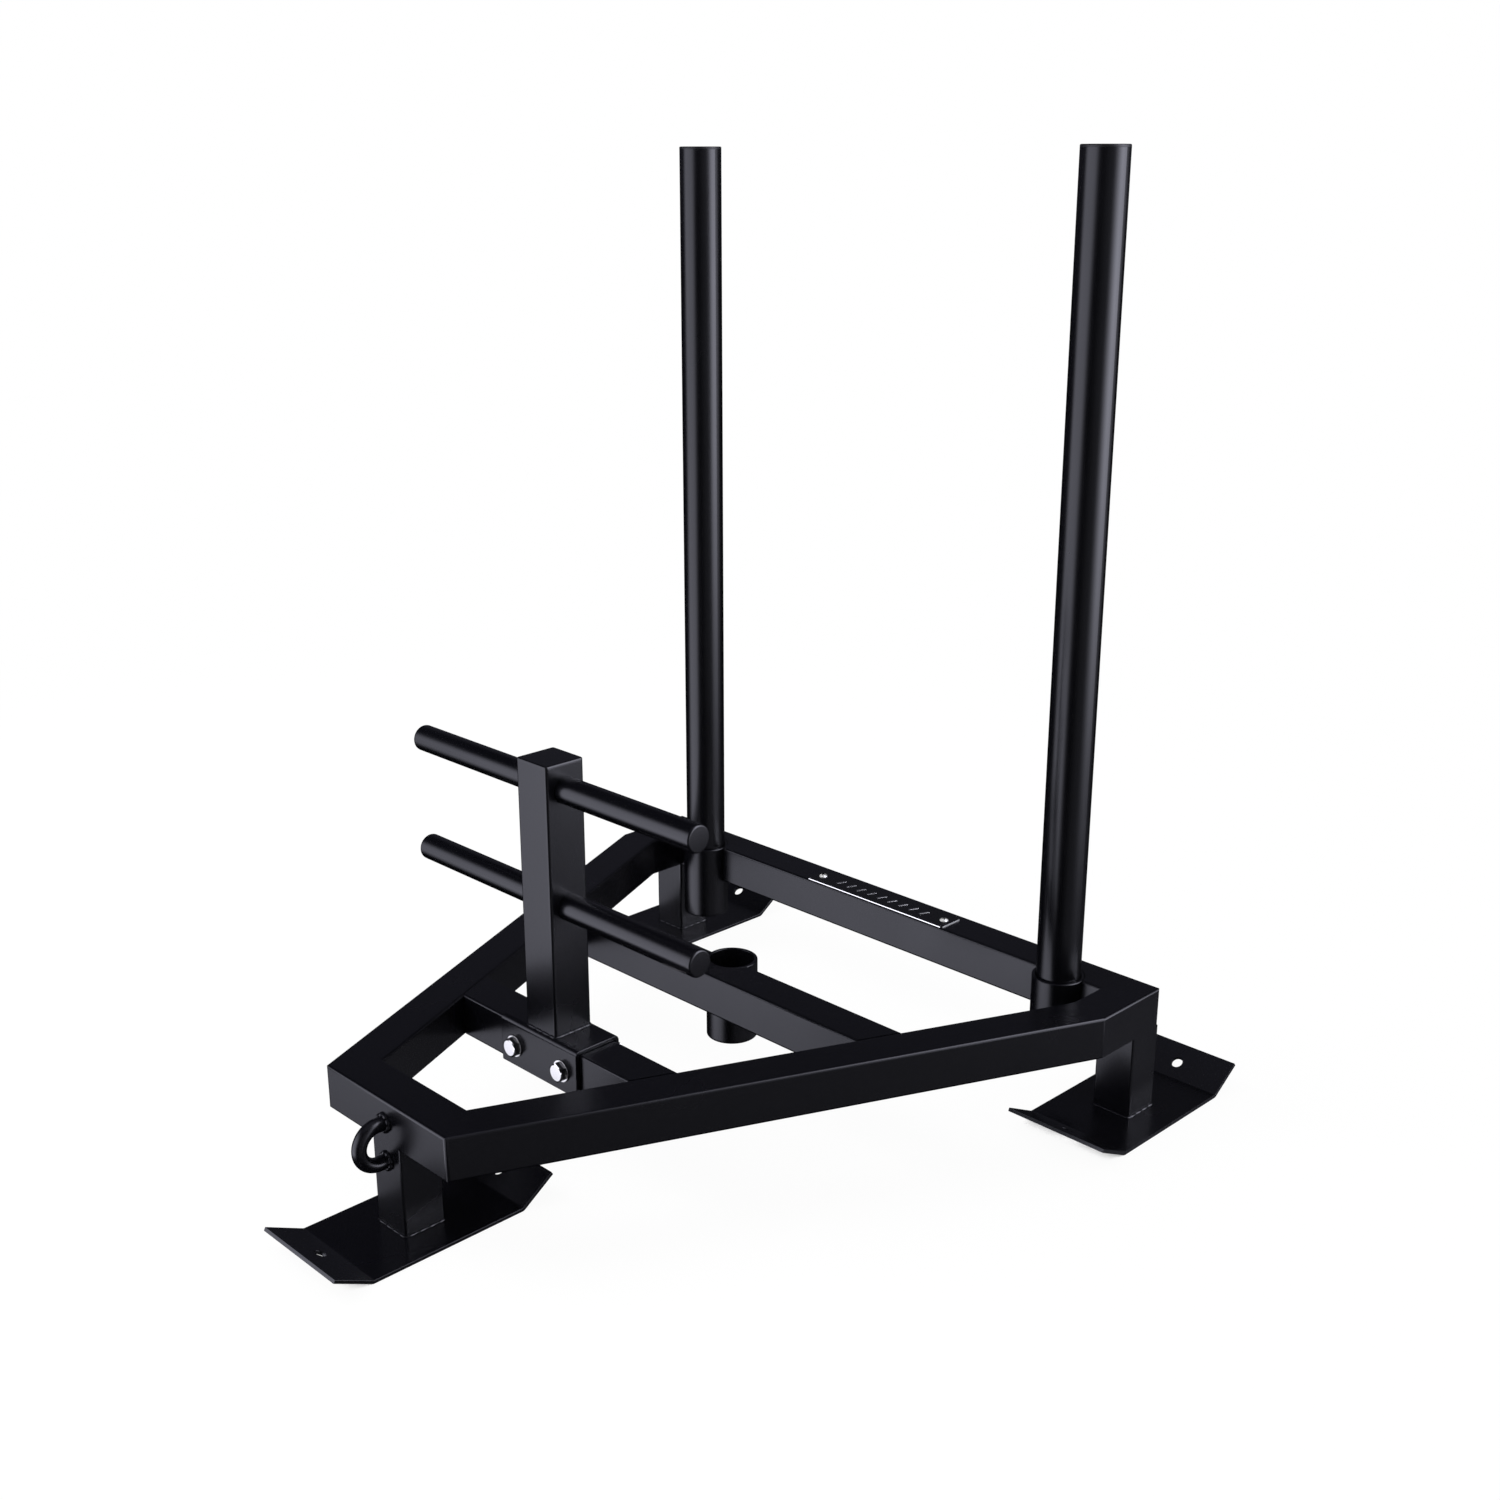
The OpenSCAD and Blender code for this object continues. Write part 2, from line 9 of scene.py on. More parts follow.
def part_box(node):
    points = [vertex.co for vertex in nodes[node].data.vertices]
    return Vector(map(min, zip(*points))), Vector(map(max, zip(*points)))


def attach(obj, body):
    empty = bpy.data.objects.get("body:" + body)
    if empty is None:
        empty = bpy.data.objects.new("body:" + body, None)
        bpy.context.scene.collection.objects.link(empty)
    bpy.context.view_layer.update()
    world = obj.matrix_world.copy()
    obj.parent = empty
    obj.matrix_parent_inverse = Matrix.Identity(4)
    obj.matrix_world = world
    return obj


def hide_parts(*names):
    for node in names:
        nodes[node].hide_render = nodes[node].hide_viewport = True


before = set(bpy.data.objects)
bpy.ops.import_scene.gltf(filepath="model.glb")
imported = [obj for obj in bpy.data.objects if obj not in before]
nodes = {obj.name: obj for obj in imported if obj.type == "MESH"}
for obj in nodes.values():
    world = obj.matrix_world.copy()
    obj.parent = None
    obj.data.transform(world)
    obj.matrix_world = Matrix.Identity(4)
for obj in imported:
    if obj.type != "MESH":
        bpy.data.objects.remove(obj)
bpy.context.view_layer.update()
mm = 0.001
print("frame loaded,", len(nodes), "parts")


# Materials

def newSurface(name):
    material = bpy.data.materials.new(name)
    material.use_nodes = True
    tree = material.node_tree
    return material, tree, tree.nodes["Principled BSDF"]


def addNoise(tree, scale, detail, stretch=(1, 1, 1)):
    place = tree.nodes.new("ShaderNodeTexCoord")
    turn = tree.nodes.new("ShaderNodeMapping")
    turn.inputs["Scale"].default_value = stretch
    noise = tree.nodes.new("ShaderNodeTexNoise")
    noise.inputs["Scale"].default_value = scale
    noise.inputs["Detail"].default_value = detail
    tree.links.new(place.outputs["Object"], turn.inputs["Vector"])
    tree.links.new(turn.outputs["Vector"], noise.inputs["Vector"])
    return noise.outputs["Fac"]


# A noise's values lie mostly between these two
noiseRange = (0.3, 0.7)


def spread(tree, source, low, high):
    spreadNode = tree.nodes.new("ShaderNodeMapRange")
    spreadNode.inputs["From Min"].default_value = noiseRange[0]
    spreadNode.inputs["From Max"].default_value = noiseRange[1]
    spreadNode.inputs["To Min"].default_value = low
    spreadNode.inputs["To Max"].default_value = high
    tree.links.new(source, spreadNode.inputs["Value"])
    return spreadNode.outputs["Result"]


def tint(tree, source, first, second):
    mix = tree.nodes.new("ShaderNodeMix")
    mix.data_type = "RGBA"
    mix.inputs["A"].default_value = (*first, 1)
    mix.inputs["B"].default_value = (*second, 1)
    tree.links.new(source, mix.inputs["Factor"])
    return mix.outputs["Result"]


def texturedSurface(name, look):
    material, tree, shader = newSurface(name)
    clouds = addNoise(tree, look["cloudScale"], detail=3)
    fine = addNoise(tree, look["fineScale"], detail=2, stretch=look.get("stretch", (1, 1, 1)))
    tree.links.new(tint(tree, clouds, *look["colours"]), shader.inputs["Base Color"])
    rough = spread(tree, clouds, *look["roughness"])
    tree.links.new(rough, shader.inputs["Roughness"])
    bump = tree.nodes.new("ShaderNodeBump")
    bump.inputs["Strength"].default_value = 1
    bump.inputs["Distance"].default_value = look["fineDepth"]
    tree.links.new(fine, bump.inputs["Height"])
    tree.links.new(bump.outputs["Normal"], shader.inputs["Normal"])
    shader.inputs["Metallic"].default_value = look.get("metallic", 0)
    shader.inputs["IOR"].default_value = look.get("ior", 1.5)
    return material


# Scales are features per metre, depths are in metres
powderCoatLook = {
    "colours": ((0.0013, 0.0013, 0.0024), (0.0022, 0.0022, 0.0038)),
    "roughness": (0.24, 0.28),
    "cloudScale": 9,
    "fineScale": 650,
    "fineDepth": 0.000012,
}
capPlasticLook = {
    "colours": ((0.004, 0.004, 0.005), (0.006, 0.006, 0.007)),
    "roughness": (0.40, 0.48),
    "cloudScale": 30,
    "fineScale": 1500,
    "fineDepth": 0.000012,
}
zincLook = {
    "colours": ((0.98, 0.97, 0.91), (1.0, 0.99, 0.94)),
    "roughness": (0.08, 0.14),
    "cloudScale": 160,
    "fineScale": 900,
    "fineDepth": 0.000004,
    "stretch": (1, 0.15, 1),
    "metallic": 1,
}
plateFaceLook = {
    "colours": ((0.0015, 0.0015, 0.0018), (0.0025, 0.0025, 0.0028)),
    "roughness": (0.16, 0.22),
    "cloudScale": 30,
    "fineScale": 1200,
    "fineDepth": 0.000003,
}
plateEdgeLook = {
    "colours": ((0.88, 0.88, 0.83), (0.95, 0.95, 0.90)),
    "roughness": (0.12, 0.20),
    "cloudScale": 200,
    "fineScale": 1500,
    "fineDepth": 0.000003,
    "metallic": 1,
}
screwLook = {
    "colours": ((0.88, 0.88, 0.86), (0.94, 0.94, 0.92)),
    "roughness": (0.30, 0.40),
    "cloudScale": 300,
    "fineScale": 1200,
    "fineDepth": 0.000004,
    "metallic": 0.55,
}
powderCoat = texturedSurface("powderCoat", powderCoatLook)
capPlastic = texturedSurface("capPlastic", capPlasticLook)
brightZinc = texturedSurface("brightZinc", zincLook)
plateFaceAndRecessShade = texturedSurface("plateFaceAndRecessShade", plateFaceLook)
plateEdge = texturedSurface("plateEdge", plateEdgeLook)
screwZinc = texturedSurface("screwZinc", screwLook)
print("materials made")


# Mesh helpers

# Distances within which points are merged or lie on a cut, and the bend up to which faces join as flat
tolerance = {
    "piece": 0.002 * mm, "copy": 0.01 * mm, "cut": 0.0005 * mm, "lathe": 0.001 * mm, "hex": 0.02 * mm,
    "flat": math.radians(0.5),
}
# The record's slot and the materials for each ending of a piece's name
finishes = {
    "coated": ("black_coat", [powderCoat]),
    "moulded": ("cap_black", [capPlastic]),
    "plated": ("bright_zinc", [brightZinc]),
    "finished": ("plate_black", [plateFaceAndRecessShade, plateEdge]),
}


def finishPiece(bm, part, finish, body="frame", materials=None, sharp=32):
    # Turns bm into the piece that stands for a part and rides on its body
    bmesh.ops.remove_doubles(bm, verts=bm.verts, dist=tolerance["piece"])
    bmesh.ops.recalc_face_normals(bm, faces=bm.faces)
    name = part + "." + finish
    slot, usual = finishes[finish]
    mesh = bpy.data.meshes.new(name)
    bm.to_mesh(mesh)
    bm.free()
    old = mesh.attributes.get("custom_normal")
    if old:
        mesh.attributes.remove(old)
    for material in materials or usual:
        mesh.materials.append(material)
    mesh.shade_smooth()
    mesh.set_sharp_from_angle(angle=math.radians(sharp))
    piece = bpy.data.objects.new(name, mesh)
    bpy.context.scene.collection.objects.link(piece)
    evenShading = piece.modifiers.new("evenShading", "WEIGHTED_NORMAL")
    evenShading.keep_sharp = True
    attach(piece, body)
    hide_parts(part)


def copyPart(name, flatFaces=True):
    # A clean copy of a part's mesh; flatFaces joins the triangles of each flat face
    bm = bmesh.new()
    bm.from_mesh(nodes[name].data)
    bmesh.ops.remove_doubles(bm, verts=bm.verts, dist=tolerance["copy"])
    if flatFaces:
        bmesh.ops.dissolve_limit(
            bm, angle_limit=tolerance["flat"], verts=bm.verts, edges=bm.edges, delimit=set()
        )
    for face in bm.faces:
        face.material_index = 0
    return bm


def sharpEdges(bm, angle):
    limit = math.radians(angle)
    return [e for e in bm.edges if e.is_manifold and e.calc_face_angle(0) > limit]


def softenEdges(bm, width, segments=2, angle=35, edges=None, clamp=True):
    bmesh.ops.bevel(
        bm, geom=sharpEdges(bm, angle) if edges is None else edges, offset=width, affect="EDGES",
        segments=segments, profile=0.5, material=-1, clamp_overlap=clamp, loop_slide=True
    )


def cutAway(bm, point, direction):
    # Removes what lies beyond a plane and closes the cut
    geom = bm.verts[:] + bm.edges[:] + bm.faces[:]
    bmesh.ops.bisect_plane(
        bm, geom=geom, dist=tolerance["cut"], plane_co=point, plane_no=direction, clear_outer=True
    )
    rim = [e for e in bm.edges if e.is_boundary]
    if rim:
        bmesh.ops.holes_fill(bm, edges=rim)


def lathe(profile, steps=96, roundSteps=4):
    # profile: (radius, height, rounding) in mm, spun round Z; open at the axis, else closed
    bm = bmesh.new()
    points = [bm.verts.new((r * mm, 0, z * mm)) for r, z, rounding in profile]
    pairs = list(zip(points, points[1:]))
    if profile[0][0] > 0:
        pairs.append((points[-1], points[0]))
    for pair in pairs:
        bm.edges.new(pair)
    for point, (r, z, rounding) in zip(points, profile):
        if rounding:
            bmesh.ops.bevel(
                bm, geom=[point], offset=rounding * mm, affect="VERTICES",
                segments=roundSteps, profile=0.5, material=-1
            )
    bmesh.ops.spin(
        bm, geom=bm.verts[:] + bm.edges[:], cent=(0, 0, 0), axis=(0, 0, 1),
        angle=math.tau, steps=steps, use_merge=True
    )
    bmesh.ops.remove_doubles(bm, verts=bm.verts, dist=tolerance["lathe"])
    bmesh.ops.dissolve_degenerate(bm, edges=bm.edges, dist=tolerance["lathe"])
    return bm


def middleOf(part):
    low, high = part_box(part)
    return (low + high) / 2


def addCopies(target, source, places):
    # Adds source to target once at each matrix, and frees source
    mesh = bpy.data.meshes.new("scratch")
    for place in places:
        copy = source.copy()
        bmesh.ops.transform(copy, matrix=place, verts=copy.verts)
        copy.to_mesh(mesh)
        copy.free()
        target.from_mesh(mesh)
    source.free()
    bpy.data.meshes.remove(mesh)


def sweep(bm, stations, sides, closed):
    # Carries a circle of radius 1 through the stations' matrices
    ring = bmesh.ops.create_circle(bm, cap_ends=False, radius=1, segments=sides)["verts"]
    bmesh.ops.transform(bm, matrix=stations[0], verts=ring)
    edges = list({e for v in ring for e in v.link_edges})
    first = edges
    last = stations[0]
    for station in stations[1:]:
        made = bmesh.ops.extrude_edge_only(bm, edges=edges)["geom"]
        ring = [g for g in made if isinstance(g, bmesh.types.BMVert)]
        edges = [g for g in made if isinstance(g, bmesh.types.BMEdge)]
        bmesh.ops.transform(bm, matrix=station @ last.inverted(), verts=ring)
        last = station
    if closed:
        bmesh.ops.bridge_loops(bm, edges=first + edges)
    else:
        bmesh.ops.edgeloop_fill(bm, edges=first)
        bmesh.ops.edgeloop_fill(bm, edges=edges)


# Frame: the six tubes of the outline, their upright outer corners rounded over the mitres

outline = {"cornerRound": 6 * mm, "cornerSteps": 6}
noseLow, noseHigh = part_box("nose_bar")
cornerLow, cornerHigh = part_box("corner_piece_right")
outerCorners = [
    Vector((noseHigh.x, noseLow.y, 0)),
    Vector((cornerHigh.x, cornerLow.y, 0)),
    Vector((cornerHigh.x, cornerHigh.y, 0)),
    Vector((-cornerHigh.x, cornerHigh.y, 0)),
    Vector((-cornerHigh.x, cornerLow.y, 0)),
    Vector((-noseHigh.x, noseLow.y, 0)),
]
outlineTubes = [
    "side_rail_right", "corner_piece_right", "rear_bar",
    "corner_piece_left", "side_rail_left", "nose_bar",
]


def outward(i):
    run = outerCorners[(i + 1) % 6] - outerCorners[i % 6]
    return Vector((run.y, -run.x, 0)).normalized()


def roundCorner(bm, i):
    # Upright cuts along an arc that touches both outer faces
    before = outward(i - 1)
    after = outward(i)
    turn = before.angle(after)
    middle = (before + after).normalized()
    radius = outline["cornerRound"]
    centre = outerCorners[i] - middle * radius / math.cos(turn / 2)
    for k in range(outline["cornerSteps"]):
        share = (k + 0.5) / outline["cornerSteps"]
        direction = before.slerp(after, share)
        cutAway(bm, centre + direction * radius, direction)


for i, part in enumerate(outlineTubes):
    bm = copyPart(part, flatFaces=False)
    roundCorner(bm, i)
    roundCorner(bm, (i + 1) % 6)
    finishPiece(bm, part, "coated")

# Legs reach into the frame's underside, so that their flush faces meet it without a groove
legs = ("leg_front", "leg_rear_left", "leg_rear_right")
legRise = 2.9 * mm
rimDepth = 0.1 * mm
for part in legs:
    bm = copyPart(part)
    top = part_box(part)[1].z
    rim = [v for v in bm.verts if v.co.z > top - rimDepth]
    bmesh.ops.translate(bm, vec=(0, 0, legRise), verts=rim)
    finishPiece(bm, part, "coated")

# Plates with their cut edges broken
plateEdges = {"skid": 0.7 * mm, "bracket": 1.3 * mm, "postTop": 1.8 * mm}
for part in ("skid_front", "skid_rear_left", "skid_rear_right"):
    bm = copyPart(part)
    softenEdges(bm, plateEdges["skid"])
    finishPiece(bm, part, "coated")
bm = copyPart("handle_bracket")
softenEdges(bm, plateEdges["bracket"], clamp=False)
finishPiece(bm, "handle_bracket", "coated")
bm = copyPart("post_cap")
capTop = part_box("post_cap")[1].z
rim = [e for e in sharpEdges(bm, 60) if all(v.co.z > capTop - rimDepth for v in e.verts)]
softenEdges(bm, plateEdges["postTop"], 3, edges=rim)
finishPiece(bm, "post_cap", "coated")
print("frame, legs and plates done")


# Sockets, their discs and the poles' caps

socket = {"wall": 4, "rimRound": 1.4, "mouthRound": 1.0, "discRound": 2}
sockets = ("weight_sleeve", "pole_socket_left", "pole_socket_right")
for part in sockets:
    low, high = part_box(part)
    outer = (high.x - low.x) / 2 / mm
    bore = outer - socket["wall"]
    foot = low.z / mm
    rim = high.z / mm
    bm = lathe([
        (bore, foot, 0), (outer, foot, 0), (outer, rim, socket["rimRound"]),
        (bore, rim, socket["mouthRound"]),
    ])
    middle = middleOf(part)
    bmesh.ops.translate(bm, vec=(middle.x, middle.y, 0), verts=bm.verts)
    finishPiece(bm, part, "coated")

# All three sockets are as wide, so one disc serves for each
low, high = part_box("socket_discs")
disc = lathe([
    (0, low.z / mm, 0), (outer, low.z / mm, socket["discRound"]),
    (outer, high.z / mm, 0), (0, high.z / mm, 0),
])
discs = bmesh.new()
addCopies(discs, disc, [Matrix.Translation((*middleOf(part).xy, 0)) for part in sockets])
finishPiece(discs, "socket_discs", "coated")

poleCap = {
    "head": 3, "edgeRound": 1.3, "spigotInset": 3.2, "spigotRound": 0.5, "seatRound": 0.2,
    "dishEdge": 18, "dishDepth": 0.6, "dishSlope": 1.5, "dishRound": 0.5,
}
for side in ("left", "right"):
    part = "pole_cap_" + side
    low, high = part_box(part)
    radius = (high.x - low.x) / 2 / mm
    spigot = radius - poleCap["spigotInset"]
    foot = low.z / mm
    top = high.z / mm
    seat = top - poleCap["head"]
    dish = poleCap["dishEdge"]
    dishFloor = top - poleCap["dishDepth"]
    bm = lathe([
        (0, foot, 0), (spigot, foot, poleCap["spigotRound"]), (spigot, seat, 0),
        (radius, seat, poleCap["seatRound"]), (radius, top, poleCap["edgeRound"]),
        (dish, top, poleCap["dishRound"]),
        (dish - poleCap["dishSlope"], dishFloor, poleCap["dishRound"]), (0, dishFloor, 0),
    ])
    middle = middleOf(part)
    bmesh.ops.translate(bm, vec=(middle.x, middle.y, 0), verts=bm.verts)
    finishPiece(bm, part, "moulded", "pole_" + side)
print("sockets and pole caps done")


# Handle bar ends

barEnd = {"edgeRound": 2.1, "thickness": 4, "sides": 72}
low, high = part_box("handle_bar_caps")
barRadius = (high.y - low.y) / 2 / mm
halfLength = high.x / mm
inner = halfLength - barEnd["thickness"]
middleY = (low.y + high.y) / 2
endCap = lathe([
    (0, inner, 0), (barRadius, inner, 0), (barRadius, halfLength, barEnd["edgeRound"]), (0, halfLength, 0),
], barEnd["sides"])
barCaps = bmesh.new()
addCopies(barCaps, endCap, [
    Matrix.Translation((0, middleY, middleOf(part).z)) @ Matrix.Rotation(math.radians(turn), 4, "Y")
    for part in ("handle_bar_upper", "handle_bar_lower") for turn in (90, -90)
])
finishPiece(barCaps, "handle_bar_caps", "coated")


# Bolts, washers and nuts, each made upright at the origin and turned to point along the sled

bolt = {
    "acrossFlats": 19, "headHeight": 6.5, "diameter": 12, "length": 80, "nutHeight": 10, "nutBore": 5.4,
    "landShare": 0.455, "landRound": 0.3, "chamfer": 26, "boreChamfer": 0.9, "edgeRound": 0.3,
    "longEdge": 2, "cornerReach": 10, "shankSink": 0.5, "headSides": 72, "shankSides": 48,
    "headTurns": (12, 8), "nutTurns": (8, 41),
}
thread = {
    "pitch": 1.75, "depth": 0.9, "length": 22, "lead": 1.2, "runOut": 2.5, "taper": 1, "tipChamfer": 0.8,
    "rootSink": 0.2, "crestDrop": 0.05, "crestHalf": 0.15, "rootGap": 0.1, "stepsPerTurn": 36,
}
washer = {"outside": 12, "hole": 6.5, "thickness": 2, "edgeRound": 0.35, "holeRound": 0.2, "sides": 72}


def hexCut(bm):
    half = bolt["acrossFlats"] / 2 * mm
    for k in range(6):
        direction = Vector((math.cos(math.radians(60 * k)), math.sin(math.radians(60 * k)), 0))
        cutAway(bm, direction * half, direction)
    bmesh.ops.remove_doubles(bm, verts=bm.verts, dist=tolerance["hex"])
    bmesh.ops.recalc_face_normals(bm, faces=bm.faces)


def hexBlank(height, bothEnds, bore=0):
    corner = bolt["acrossFlats"] / 2 / math.cos(math.radians(30))
    land = bolt["acrossFlats"] * bolt["landShare"]
    drop = (corner - land) * math.tan(math.radians(bolt["chamfer"]))
    flat = bolt["landRound"]
    mouth = bore + bolt["boreChamfer"]
    profile = [(mouth if bore else 0, height, 0), (land, height, flat), (corner, height - drop, 0)]
    profile += [(corner, drop, 0), (land, 0, flat)] if bothEnds else [(corner, 0, 0)]
    if bore:
        profile += [(mouth, 0, 0), (bore, bolt["boreChamfer"], 0), (bore, height - bolt["boreChamfer"], 0)]
    else:
        profile += [(0, 0, 0)]
    bm = lathe(profile, bolt["headSides"])
    hexCut(bm)
    # The six corners: long upright edges further out than the flats
    rise = bolt["longEdge"] * mm
    reach = bolt["cornerReach"] * mm
    uprights = [
        e for e in sharpEdges(bm, 50)
        if abs(e.verts[0].co.z - e.verts[1].co.z) > rise and e.verts[0].co.xy.length > reach
    ]
    softenEdges(bm, bolt["edgeRound"] * mm, 2, edges=uprights)
    return bm


def boltMesh():
    bm = hexBlank(bolt["headHeight"], False)
    radius = bolt["diameter"] / 2
    core = radius - thread["depth"]
    top = bolt["shankSink"]
    plain = bolt["length"] - thread["length"]
    tip = thread["tipChamfer"]
    shank = lathe([
        (0, top, 0), (radius, top, 0), (radius, -plain, 0), (core, -plain - thread["taper"], 0),
        (core, tip - bolt["length"], 0), (core - tip, -bolt["length"], 0), (0, -bolt["length"], 0),
    ], bolt["shankSides"])
    addCopies(bm, shank, [Matrix.Identity(4)])
    root = core - thread["rootSink"]
    crest = radius - thread["crestDrop"]
    half = thread["pitch"] / 2 - thread["rootGap"]
    low = -bolt["length"] + thread["lead"]
    ridge = [
        (root, low - half), (crest, low - thread["crestHalf"]),
        (crest, low + thread["crestHalf"]), (root, low + half),
    ]
    coil = bmesh.new()
    face = coil.faces.new([coil.verts.new((r * mm, 0, z * mm)) for r, z in ridge])
    turns = (thread["length"] - thread["runOut"]) / thread["pitch"]
    stepsPerTurn = thread["stepsPerTurn"]
    steps = int(turns * stepsPerTurn)
    bmesh.ops.spin(
        coil, geom=[face] + face.edges[:] + face.verts[:], cent=(0, 0, 0), axis=(0, 0, 1),
        dvec=(0, 0, thread["pitch"] / stepsPerTurn * mm), angle=math.tau * steps / stepsPerTurn, steps=steps
    )
    bmesh.ops.holes_fill(coil, edges=coil.edges[:])
    addCopies(bm, coil, [Matrix.Identity(4)])
    return bm


washerLow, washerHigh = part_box("bracket_washers")
boltX = (washerHigh.x - washerLow.x) / 2 - washer["outside"] * mm
boltZ = (washerLow.z + washerHigh.z) / 2


def boltPlace(side, y, turn=0):
    # On the left or right bolt's line, pointing along the sled
    onLine = Matrix.Translation((side * boltX, y, boltZ)) @ Matrix.Rotation(math.radians(90), 4, "X")
    return onLine @ Matrix.Rotation(math.radians(turn), 4, "Z")


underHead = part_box("bracket_bolts")[0].y + bolt["headHeight"] * mm
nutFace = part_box("bracket_nuts")[1].y
bolts = bmesh.new()
addCopies(bolts, boltMesh(), [
    boltPlace(side, underHead, turn) for side, turn in zip((-1, 1), bolt["headTurns"])
])
finishPiece(bolts, "bracket_bolts", "plated", sharp=25)

nuts = bmesh.new()
addCopies(nuts, hexBlank(bolt["nutHeight"], True, bolt["nutBore"]), [
    boltPlace(side, nutFace, turn) for side, turn in zip((-1, 1), bolt["nutTurns"])
])
finishPiece(nuts, "bracket_nuts", "plated", sharp=25)

oneWasher = lathe([
    (washer["hole"], 0, washer["holeRound"]), (washer["outside"], 0, washer["edgeRound"]),
    (washer["outside"], washer["thickness"], washer["edgeRound"]),
    (washer["hole"], washer["thickness"], washer["holeRound"]),
], washer["sides"])
washers = bmesh.new()
addCopies(washers, oneWasher, [
    boltPlace(side, y) for side in (-1, 1) for y in (washerLow.y + washer["thickness"] * mm, washerHigh.y)
])
finishPiece(washers, "bracket_washers", "plated")
print("bolts, nuts and washers done")


# Name plate: bare gloss black with bright edges and a row of plain raised bars, and its two screws

plate = {
    "cornerRound": 2.2, "edgeRound": 0.45, "bars": 9, "barPitch": 17, "barLength": 13,
    "barWidth": 2.6, "barHeight": 0.35, "barRound": 0.25, "barSlant": 24,
}
low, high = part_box("nameplate")
size = high - low
plateMiddle = middleOf("nameplate")
bm = bmesh.new()
bmesh.ops.create_cube(bm, size=1)
bmesh.ops.scale(bm, vec=size, verts=bm.verts)
uprights = [e for e in bm.edges if abs(e.verts[0].co.z - e.verts[1].co.z) > size.z / 2]
softenEdges(bm, plate["cornerRound"] * mm, 4, edges=uprights)
upper = [e for e in sharpEdges(bm, 60) if all(v.co.z > size.z * 0.4 for v in e.verts)]
softenEdges(bm, plate["edgeRound"] * mm, 2, edges=upper)
bmesh.ops.translate(bm, vec=plateMiddle, verts=bm.verts)
for face in bm.faces:
    # Only the straight side faces are bright
    along = max(abs(face.normal.x), abs(face.normal.y))
    face.material_index = 1 if along > 0.99 else 0
bar = bmesh.new()
bmesh.ops.create_cube(bar, size=1)
barSize = Vector((plate["barWidth"], plate["barLength"], plate["barHeight"] * 2)) * mm
bmesh.ops.scale(bar, vec=barSize, verts=bar.verts)
softenEdges(bar, plate["barRound"] * mm, 2)
for face in bar.faces:
    face.material_index = 1
half = (plate["bars"] - 1) / 2
addCopies(bm, bar, [
    Matrix.Translation((plateMiddle.x + (k - half) * plate["barPitch"] * mm, plateMiddle.y, high.z))
    @ Matrix.Rotation(math.radians(-plate["barSlant"]), 4, "Z")
    for k in range(plate["bars"])
])
finishPiece(bm, "nameplate", "finished")

screw = {
    "headRadius": 5.25, "headHeight": 3, "shankRadius": 2.5, "shankLength": 10,
    "tipChamfer": 0.6, "slotWidth": 2.4, "slotLength": 8.8, "slotDepth": 2.2, "slotTaper": 0.6,
    "slotLift": 0.1, "turns": (20, 50), "domeSteps": 8, "sides": 48,
}
screwLow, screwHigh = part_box("nameplate_screws")
headRadius = screw["headRadius"]
headHeight = screw["headHeight"]
domeRadius = (headRadius ** 2 + headHeight ** 2) / (2 * headHeight)
domeSteps = screw["domeSteps"]
shankRadius = screw["shankRadius"]
shankEnd = -screw["shankLength"]
profile = [(0, shankEnd, 0), (shankRadius, screw["tipChamfer"] + shankEnd, 0), (shankRadius, 0, 0)]
for k in range(domeSteps + 1):
    angle = math.asin(headRadius / domeRadius) * (domeSteps - k) / domeSteps
    profile.append((domeRadius * math.sin(angle), domeRadius * math.cos(angle) - domeRadius + headHeight, 0))
screwSpread = (screwHigh.x - screwLow.x - 2 * headRadius * mm) / 2
screwPlaces = []
for side, turn in zip((-1, 1), screw["turns"]):
    x = side * screwSpread + (screwLow.x + screwHigh.x) / 2
    foot = Matrix.Translation((x, plateMiddle.y, screwHigh.z - headHeight * mm))
    screwPlaces.append(foot @ Matrix.Rotation(math.radians(turn), 4, "Z"))
screws = bmesh.new()
addCopies(screws, lathe(profile, screw["sides"]), screwPlaces)
cross = bmesh.new()
slotSize = Vector((screw["slotLength"], screw["slotWidth"], 2 * screw["slotDepth"])) * mm
for turn in (0, 90):
    made = bmesh.ops.create_cube(cross, size=1)["verts"]
    bmesh.ops.scale(cross, vec=slotSize, verts=made)
    bmesh.ops.rotate(cross, cent=(0, 0, 0), matrix=Matrix.Rotation(math.radians(turn), 3, "Z"), verts=made)
    narrow = [v for v in made if v.co.z < 0]
    bmesh.ops.scale(cross, vec=(screw["slotTaper"], screw["slotTaper"], 1), verts=narrow)
bmesh.ops.translate(cross, vec=(0, 0, headHeight * mm + screw["slotLift"] * mm), verts=cross.verts)
cutter = bmesh.new()
addCopies(cutter, cross, screwPlaces)
bmesh.ops.recalc_face_normals(cutter, faces=cutter.faces)
# The cutter's faces become the cross recess's walls and take the plate's gloss black: painted shade, standing
# in for the shade deep inside the recess
for face in cutter.faces:
    face.material_index = 1
cutterMesh = bpy.data.meshes.new("crossCutter")
cutter.to_mesh(cutterMesh)
cutter.free()
cutterPiece = bpy.data.objects.new("crossCutter", cutterMesh)
bpy.context.scene.collection.objects.link(cutterPiece)
bmesh.ops.recalc_face_normals(screws, faces=screws.faces)
blankMesh = bpy.data.meshes.new("screwBlank")
screws.to_mesh(blankMesh)
screws.free()
blank = bpy.data.objects.new("screwBlank", blankMesh)
bpy.context.scene.collection.objects.link(blank)
recess = blank.modifiers.new("recess", "BOOLEAN")
recess.operation = "DIFFERENCE"
recess.solver = "EXACT"
recess.use_self = True
recess.material_mode = "INDEX"
recess.object = cutterPiece
bpy.context.view_layer.update()
shaped = blank.evaluated_get(bpy.context.evaluated_depsgraph_get())
screws = bmesh.new()
